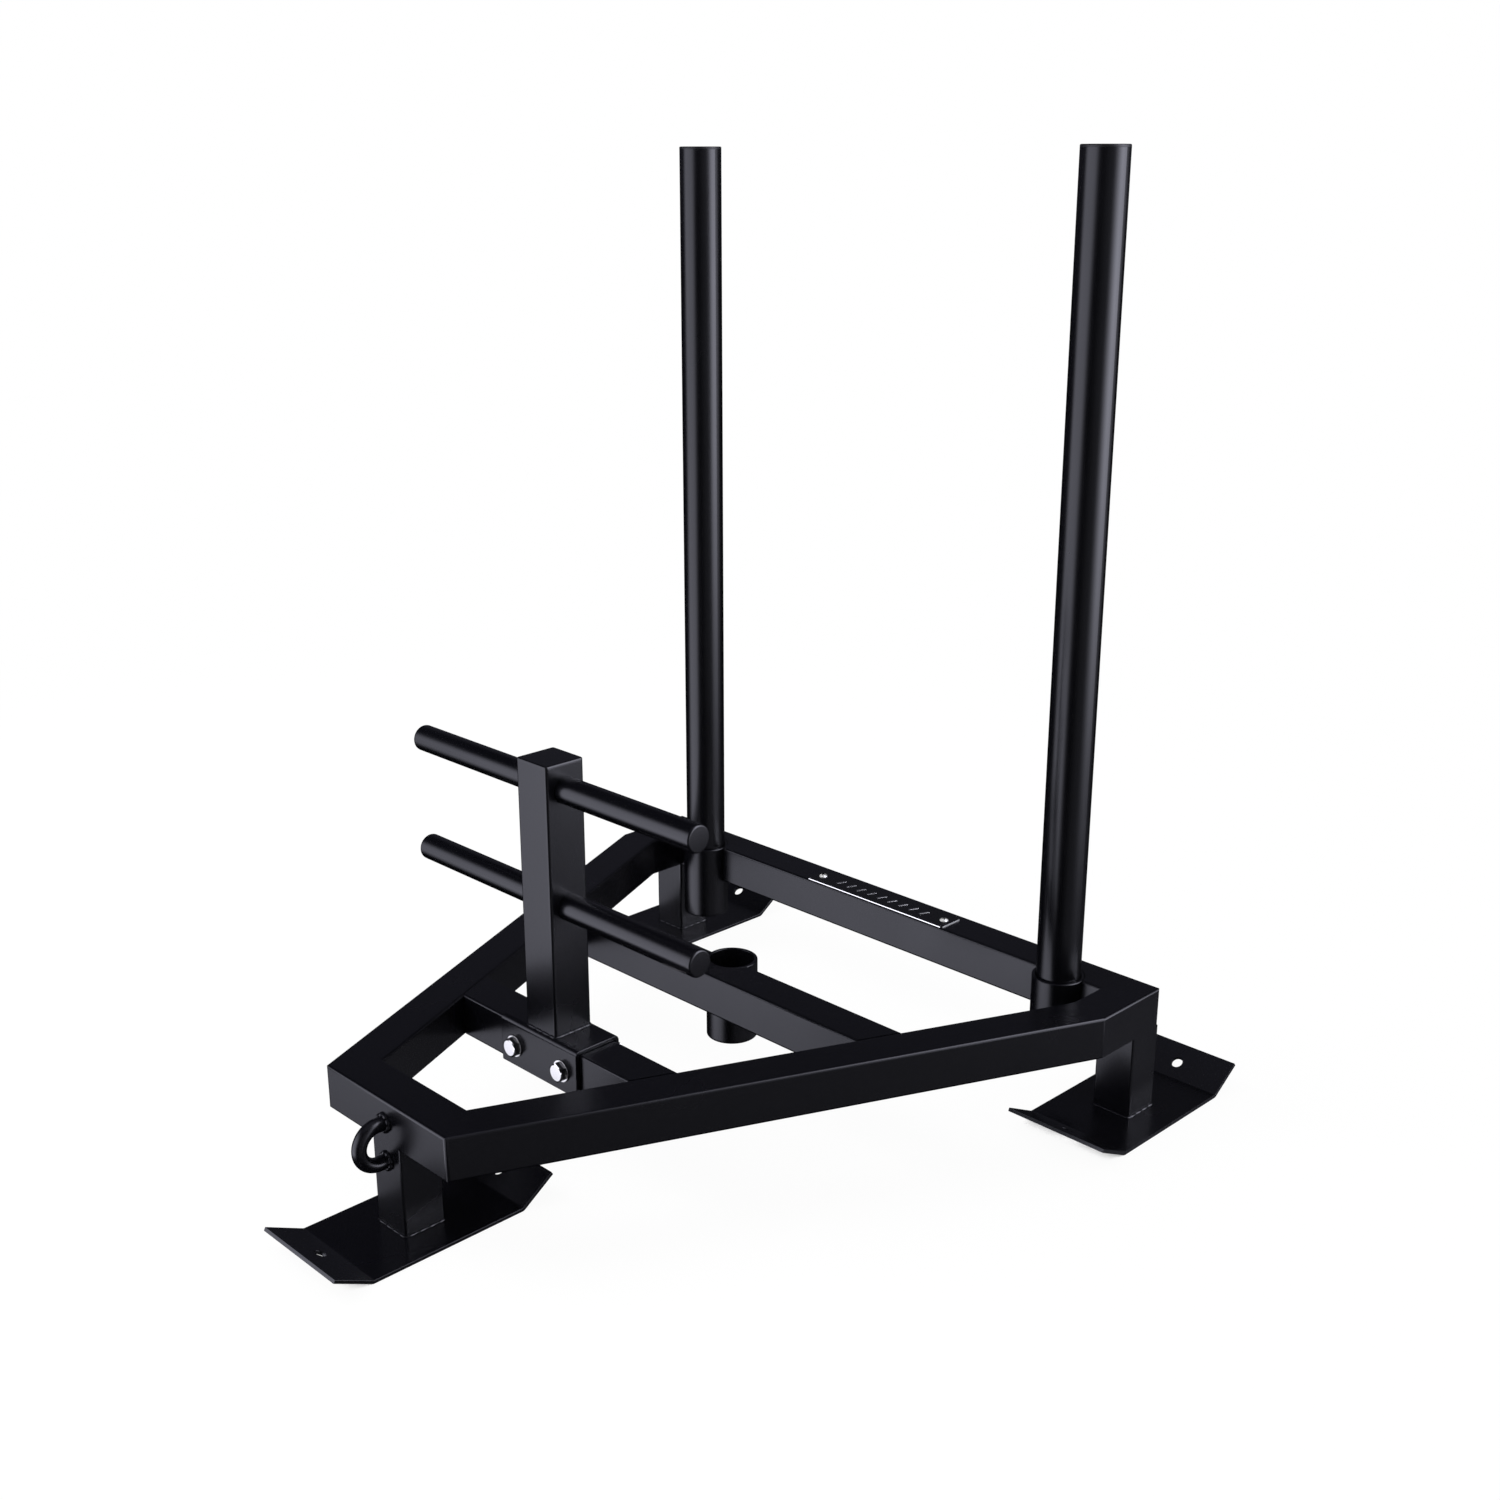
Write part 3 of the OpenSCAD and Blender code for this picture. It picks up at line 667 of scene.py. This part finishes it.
screws.from_mesh(shaped.to_mesh())
bpy.data.objects.remove(blank)
bpy.data.objects.remove(cutterPiece)
# Zinc screw heads, with the cross recess in the plate's gloss black as painted shade
finishPiece(screws, "nameplate_screws", "plated", materials=[screwZinc, plateFaceAndRecessShade])
print("name plate and screws done")


# Weld beads: rippled runs round the feet of the legs and the post, and lumps round the tow ring's ends

legWeld = {"radius": 1.9, "pitch": 11.5, "ripple": 0.6, "corner": 3, "lift": 0.2, "sides": 12, "perRipple": 8}
postWeld = {**legWeld, "ripple": 0.4}
ringWeld = {
    "radius": 3.4, "pitch": 6.6, "ripple": 0.45, "rodGap": 0.3, "runGap": 1.2, "faceGap": 0.6,
    "sides": 12, "perRipple": 8,
}
unevenness = {"swell": 0.10, "lean": (0.6, 0.9), "fullness": 0.7}
random.seed(7)


def rippleScale(count, look):
    # Thickness factors along a run: each ripple swells quickly and falls away slowly
    factors = []
    for k in range(count):
        swell = 1 + random.uniform(-unevenness["swell"], unevenness["swell"])
        lean = random.uniform(*unevenness["lean"])
        for step in range(look["perRipple"]):
            share = (step / look["perRipple"]) ** lean
            dip = 1 - math.sin(math.pi * share) ** unevenness["fullness"]
            factors.append(swell * (1 - look["ripple"] * dip))
    return factors


def squareLoop(half, corner, length):
    # Point and direction at a distance along a square with rounded corners
    straight = 2 * (half - corner)
    arc = math.pi / 2 * corner
    side = int(length // (straight + arc)) % 4
    rest = length % (straight + arc)
    if rest < straight:
        point = Vector((half, rest - straight / 2, 0))
        direction = Vector((0, 1, 0))
    else:
        angle = (rest - straight) / corner
        point = Vector((
            half - corner + corner * math.cos(angle), straight / 2 + corner * math.sin(angle), 0,
        ))
        direction = Vector((-math.sin(angle), math.cos(angle), 0))
    turn = Matrix.Rotation(side * math.pi / 2, 3, "Z")
    return turn @ point, turn @ direction


def station(point, direction, scale):
    across = direction.to_track_quat("Z", "Y").to_matrix().to_4x4()
    return Matrix.Translation(point) @ across @ Matrix.Diagonal((scale, scale, 1, 1))


def footWeld(bm, part, look):
    low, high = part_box(part)
    middle = Vector(((low.x + high.x) / 2, (low.y + high.y) / 2, low.z + look["lift"] * mm))
    half = (high.x - low.x) / 2
    corner = look["corner"] * mm
    around = 8 * (half - corner) + math.tau * corner
    count = round(around / (look["pitch"] * mm))
    factors = rippleScale(count, look)
    stations = []
    for k, factor in enumerate(factors):
        point, direction = squareLoop(half, corner, around * k / len(factors))
        stations.append(station(middle + point, direction, look["radius"] * mm * factor))
    sweep(bm, stations, look["sides"], True)


bm = bmesh.new()
for part in legs:
    footWeld(bm, part, legWeld)
finishPiece(bm, "leg_weld_beads", "coated", sharp=80)

bm = bmesh.new()
footWeld(bm, "handle_post", postWeld)
finishPiece(bm, "post_weld_bead", "coated", sharp=80)

bm = bmesh.new()
ringLow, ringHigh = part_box("tow_ring")
rod = (ringHigh.x - ringLow.x) / 2
for z in (ringLow.z + rod, ringHigh.z - rod):
    count = round(math.tau * (rod + ringWeld["runGap"] * mm) / (ringWeld["pitch"] * mm))
    factors = rippleScale(count, ringWeld)
    stations = []
    for k, factor in enumerate(factors):
        angle = math.tau * k / len(factors)
        spoke = Vector((math.cos(angle), 0, math.sin(angle)))
        direction = Vector((-math.sin(angle), 0, math.cos(angle)))
        middle = Vector((0, noseLow.y - ringWeld["faceGap"] * mm, z))
        point = middle + spoke * (rod + ringWeld["rodGap"] * mm)
        stations.append(station(point, direction, ringWeld["radius"] * mm * factor))
    sweep(bm, stations, ringWeld["sides"], True)
finishPiece(bm, "ring_weld_beads", "coated", sharp=80)
print("weld beads done")


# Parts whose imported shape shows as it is

for part in (
    "middle_bar", "front_bar", "handle_post", "handle_bar_upper", "handle_bar_lower",
    "push_pole_left", "push_pole_right", "tow_ring",
):
    node = nodes[part]
    if not node.material_slots:
        node.data.materials.append(powderCoat)
    for materialSlot in node.material_slots:
        materialSlot.material = powderCoat


# Studio: pale floor, soft light all round, one soft key lamp, and softboxes for the reflections

studio = {
    "floorRadius": 30,
    "floorSides": 96,
    "floorPaper": (0.96, 0.96, 0.96, 1),
    "floorWhite": (0.95, 1.0),
    "shadowReach": (0.9, 2.4),
    "contactReach": 0.018,
    "contactShare": (0.04, 0.25),
    "skyForMatte": 0.82,
    "skyForGloss": [
        (-3, 0.004), (3, 0.06), (20, 0.052), (28.5, 0.07), (32.5, 0), (50, 0.015), (62, 0.17), (90, 0.2),
    ],
    "skyTint": (0.96, 0.96, 1.25),
    "boxTint": (0.91, 0.915, 1.08),
    "boxDistance": 6,
    "boxGrid": (40, 48),
    "keyPower": 130,
    "keySize": 2.6,
    "keyPlace": (-2.0, -2.2, 3.6),
    "keyAim": (0, 0, 0.3),
}
# Rows: elevation, left and right azimuth in degrees, glow, feather of the left edge in degrees
softboxes = {
    "frontLeft": {"rightFeather": 25, "rows": [
        (-38, -160, -74, 0, 38), (-34, -160, -74, 0.03, 38), (-31, -160, -74, 0.25, 38),
        (-29, -160, -74, 0.8, 38), (-27.5, -160, -74, 1.55, 38), (-25, -160, -74, 2.35, 38),
        (-23, -160, -73, 2.55, 38), (-20, -160, -73, 2.4, 36), (-12, -156, -73, 2.2, 20),
        (-4, -153, -73, 2.1, 18), (10, -155, -73, 2.05, 18), (22, -155, -73, 1.9, 18),
        (42, -150, -73, 0, 18),
    ]},
    "backRight": {"rightFeather": 44, "rows": [
        (-28, -10, 73, 0, 44), (-22, -10, 73, 0.01, 44), (-19, -10, 73, 0.03, 44),
        (-16.5, -10, 73, 0.14, 44), (-13.3, -10, 73, 0.85, 44), (-10, -10, 73, 2.1, 44),
        (-4, -10, 73, 4.2, 44), (3, -10, 73, 5.4, 44),
        (56, -10, 73, 5.2, 44), (70, -10, 73, 0, 44),
    ]},
    "frontRight": {"rightFeather": 40, "rows": [
        (-36, -58, 46, 0, 40), (-28, -58, 46, 0.17, 40), (30, -58, 46, 0.18, 40), (50, -58, 46, 0, 40),
    ]},
    "backLow": {"rightFeather": 25, "rows": [
        (-55, 30, 92, 0, 20), (-44, 30, 92, 0.24, 20), (-28, 32, 92, 0.24, 20),
        (-22, 45, 92, 0.06, 20), (-14, 60, 92, 0, 20),
    ]},
    "backFar": {"rightFeather": 25, "rows": [
        (-55, 75, 150, 0, 15), (-44, 75, 150, 0.06, 15), (-24, 75, 150, 0.06, 15), (-14, 75, 150, 0, 15),
    ]},
}


def whiteFactor(tree, glossShare):
    # 1 for camera and transmission rays, glossShare for glossy rays; also gives the rays' kinds
    path = tree.nodes.new("ShaderNodeLightPath")
    gloss = tree.nodes.new("ShaderNodeMath")
    gloss.operation = "MULTIPLY_ADD"
    gloss.inputs[1].default_value = glossShare
    tree.links.new(path.outputs["Is Glossy Ray"], gloss.inputs[0])
    tree.links.new(path.outputs["Is Camera Ray"], gloss.inputs[2])
    total = tree.nodes.new("ShaderNodeMath")
    total.operation = "ADD"
    total.use_clamp = True
    tree.links.new(gloss.outputs["Value"], total.inputs[0])
    tree.links.new(path.outputs["Is Transmission Ray"], total.inputs[1])
    return total.outputs["Value"], path


world = bpy.data.worlds.new("studioAir")
bpy.context.scene.world = world
world.use_nodes = True
tree = world.node_tree
background = tree.nodes["Background"]
background.inputs["Strength"].default_value = 1
direction = tree.nodes.new("ShaderNodeTexCoord")
height = tree.nodes.new("ShaderNodeSeparateXYZ")
tree.links.new(direction.outputs["Generated"], height.inputs["Vector"])
upward = tree.nodes.new("ShaderNodeMapRange")
upward.inputs["From Min"].default_value = -1
tree.links.new(height.outputs["Z"], upward.inputs["Value"])
ramp = tree.nodes.new("ShaderNodeValToRGB")
tree.links.new(upward.outputs["Result"], ramp.inputs["Fac"])
levels = ramp.color_ramp.elements
while len(levels) < len(studio["skyForGloss"]):
    levels.new(0.5)
for stop, (elevation, level) in zip(levels, studio["skyForGloss"]):
    stop.position = (math.sin(math.radians(elevation)) + 1) / 2
    stop.color = [level * share for share in studio["skyTint"]] + [1]
factor, path = whiteFactor(tree, 0)
matte = tree.nodes.new("ShaderNodeMath")
matte.operation = "MULTIPLY_ADD"
matte.inputs[1].default_value = studio["skyForMatte"]
tree.links.new(path.outputs["Is Diffuse Ray"], matte.inputs[0])
tree.links.new(factor, matte.inputs[2])
air = tree.nodes.new("ShaderNodeMix")
air.data_type = "RGBA"
tree.links.new(path.outputs["Is Glossy Ray"], air.inputs["Factor"])
tree.links.new(matte.outputs["Value"], air.inputs["A"])
tree.links.new(ramp.outputs["Color"], air.inputs["B"])
tree.links.new(air.outputs["Result"], background.inputs["Color"])

bm = bmesh.new()
bmesh.ops.create_circle(bm, cap_ends=True, radius=studio["floorRadius"], segments=studio["floorSides"])
floorMesh = bpy.data.meshes.new("floor")
bm.to_mesh(floorMesh)
bm.free()
floor = bpy.data.objects.new("floor", floorMesh)
bpy.context.scene.collection.objects.link(floor)
floorPaint = bpy.data.materials.new("floorPaint")
floorPaint.use_nodes = True
tree = floorPaint.node_tree
tree.nodes.remove(tree.nodes["Principled BSDF"])
paper = tree.nodes.new("ShaderNodeBsdfDiffuse")
paper.inputs["Color"].default_value = studio["floorPaper"]
glow = tree.nodes.new("ShaderNodeEmission")
glow.inputs["Color"].default_value = (1, 1, 1, 1)
glow.inputs["Strength"].default_value = 1
factor, path = whiteFactor(tree, 1)
place = tree.nodes.new("ShaderNodeTexCoord")
distance = tree.nodes.new("ShaderNodeVectorMath")
distance.operation = "LENGTH"
tree.links.new(place.outputs["Object"], distance.inputs[0])
fade = tree.nodes.new("ShaderNodeMapRange")
fade.interpolation_type = "SMOOTHSTEP"
fade.inputs["From Min"].default_value = studio["shadowReach"][0]
fade.inputs["From Max"].default_value = studio["shadowReach"][1]
fade.inputs["To Min"].default_value = studio["floorWhite"][0]
fade.inputs["To Max"].default_value = studio["floorWhite"][1]
tree.links.new(distance.outputs["Value"], fade.inputs["Value"])
share = tree.nodes.new("ShaderNodeMath")
share.operation = "MULTIPLY"
tree.links.new(factor, share.inputs[0])
tree.links.new(fade.outputs["Result"], share.inputs[1])
# Close under the skids' turned-up ends the floor has only the light that gets there
nearby = tree.nodes.new("ShaderNodeAmbientOcclusion")
nearby.samples = 4
nearby.inputs["Distance"].default_value = studio["contactReach"]
clear = tree.nodes.new("ShaderNodeMapRange")
clear.inputs["From Min"].default_value = studio["contactShare"][0]
clear.inputs["From Max"].default_value = studio["contactShare"][1]
tree.links.new(nearby.outputs["AO"], clear.inputs["Value"])
openShare = tree.nodes.new("ShaderNodeMath")
openShare.operation = "MULTIPLY"
tree.links.new(share.outputs["Value"], openShare.inputs[0])
tree.links.new(clear.outputs["Result"], openShare.inputs[1])
mix = tree.nodes.new("ShaderNodeMixShader")
tree.links.new(openShare.outputs["Value"], mix.inputs["Fac"])
tree.links.new(paper.outputs["BSDF"], mix.inputs[1])
tree.links.new(glow.outputs["Emission"], mix.inputs[2])
tree.links.new(mix.outputs["Shader"], tree.nodes["Material Output"].inputs["Surface"])
floor.data.materials.append(floorPaint)
floor.visible_glossy = False


def smoothStep(x):
    x = min(max(x, 0), 1)
    return x * x * (3 - 2 * x)


def rowAt(rows, elevation):
    for low, high in zip(rows, rows[1:]):
        if elevation <= high[0]:
            share = (elevation - low[0]) / (high[0] - low[0])
            return [a + (b - a) * share for a, b in zip(low, high)]
    return rows[-1]


def addSoftbox(name, box):
    # A patch of a large sphere that only reflections see, fading out towards its edges
    bm = bmesh.new()
    columns, bands = studio["boxGrid"]
    bmesh.ops.create_grid(bm, x_segments=columns, y_segments=bands, size=0.5)
    layer = bm.verts.layers.float.new("glow")
    rows = box["rows"]
    for v in bm.verts:
        across = v.co.x + 0.5
        elevation = rows[0][0] + (rows[-1][0] - rows[0][0]) * (v.co.y + 0.5)
        row = rowAt(rows, elevation)
        width = row[2] - row[1]
        edge = min(across * width / row[4], (1 - across) * width / box["rightFeather"])
        v[layer] = smoothStep(edge) * row[3]
        azimuth = math.radians(row[1] + width * across)
        elevation = math.radians(elevation)
        level = math.cos(elevation)
        v.co = Vector((level * math.cos(azimuth), level * math.sin(azimuth), math.sin(elevation)))
        v.co *= studio["boxDistance"]
    bmesh.ops.reverse_faces(bm, faces=bm.faces)
    mesh = bpy.data.meshes.new(name)
    bm.to_mesh(mesh)
    bm.free()
    card = bpy.data.objects.new(name, mesh)
    bpy.context.scene.collection.objects.link(card)
    material = bpy.data.materials.new(name)
    material.use_nodes = True
    tree = material.node_tree
    tree.nodes.remove(tree.nodes["Principled BSDF"])
    lit = tree.nodes.new("ShaderNodeEmission")
    lit.inputs["Color"].default_value = (*studio["boxTint"], 1)
    glow = tree.nodes.new("ShaderNodeAttribute")
    glow.attribute_name = "glow"
    tree.links.new(glow.outputs["Fac"], lit.inputs["Strength"])
    clear = tree.nodes.new("ShaderNodeBsdfTransparent")
    both = tree.nodes.new("ShaderNodeAddShader")
    tree.links.new(lit.outputs["Emission"], both.inputs[0])
    tree.links.new(clear.outputs["BSDF"], both.inputs[1])
    tree.links.new(both.outputs["Shader"], tree.nodes["Material Output"].inputs["Surface"])
    mesh.materials.append(material)
    card.visible_camera = False
    card.visible_diffuse = False
    card.visible_transmission = False
    card.visible_shadow = False


for name, box in softboxes.items():
    addSoftbox("softbox." + name, box)

lampData = bpy.data.lights.new("keyLamp", "AREA")
lampData.shape = "SQUARE"
lampData.size = studio["keySize"]
lampData.energy = studio["keyPower"]
lamp = bpy.data.objects.new("keyLamp", lampData)
lamp.location = studio["keyPlace"]
aim = Vector(studio["keyAim"]) - Vector(studio["keyPlace"])
lamp.rotation_euler = aim.to_track_quat("-Z", "Y").to_euler()
lamp.visible_glossy = False
bpy.context.scene.collection.objects.link(lamp)


# Camera, at the photograph's place

view = {"place": (1.36844, -1.22737, 1.01615), "yaw": 45.386, "pitch": 18.034, "lens": 43.58, "sensor": 36}
cameraData = bpy.data.cameras.new("camera")
cameraData.sensor_width = view["sensor"]
cameraData.lens = view["lens"]
camera = bpy.data.objects.new("camera", cameraData)
camera.location = view["place"]
camera.rotation_euler = (math.radians(90 - view["pitch"]), 0, math.radians(view["yaw"]))
bpy.context.scene.collection.objects.link(camera)
bpy.context.scene.camera = camera
bpy.context.scene.view_settings.view_transform = "Standard"
print("studio and camera done")
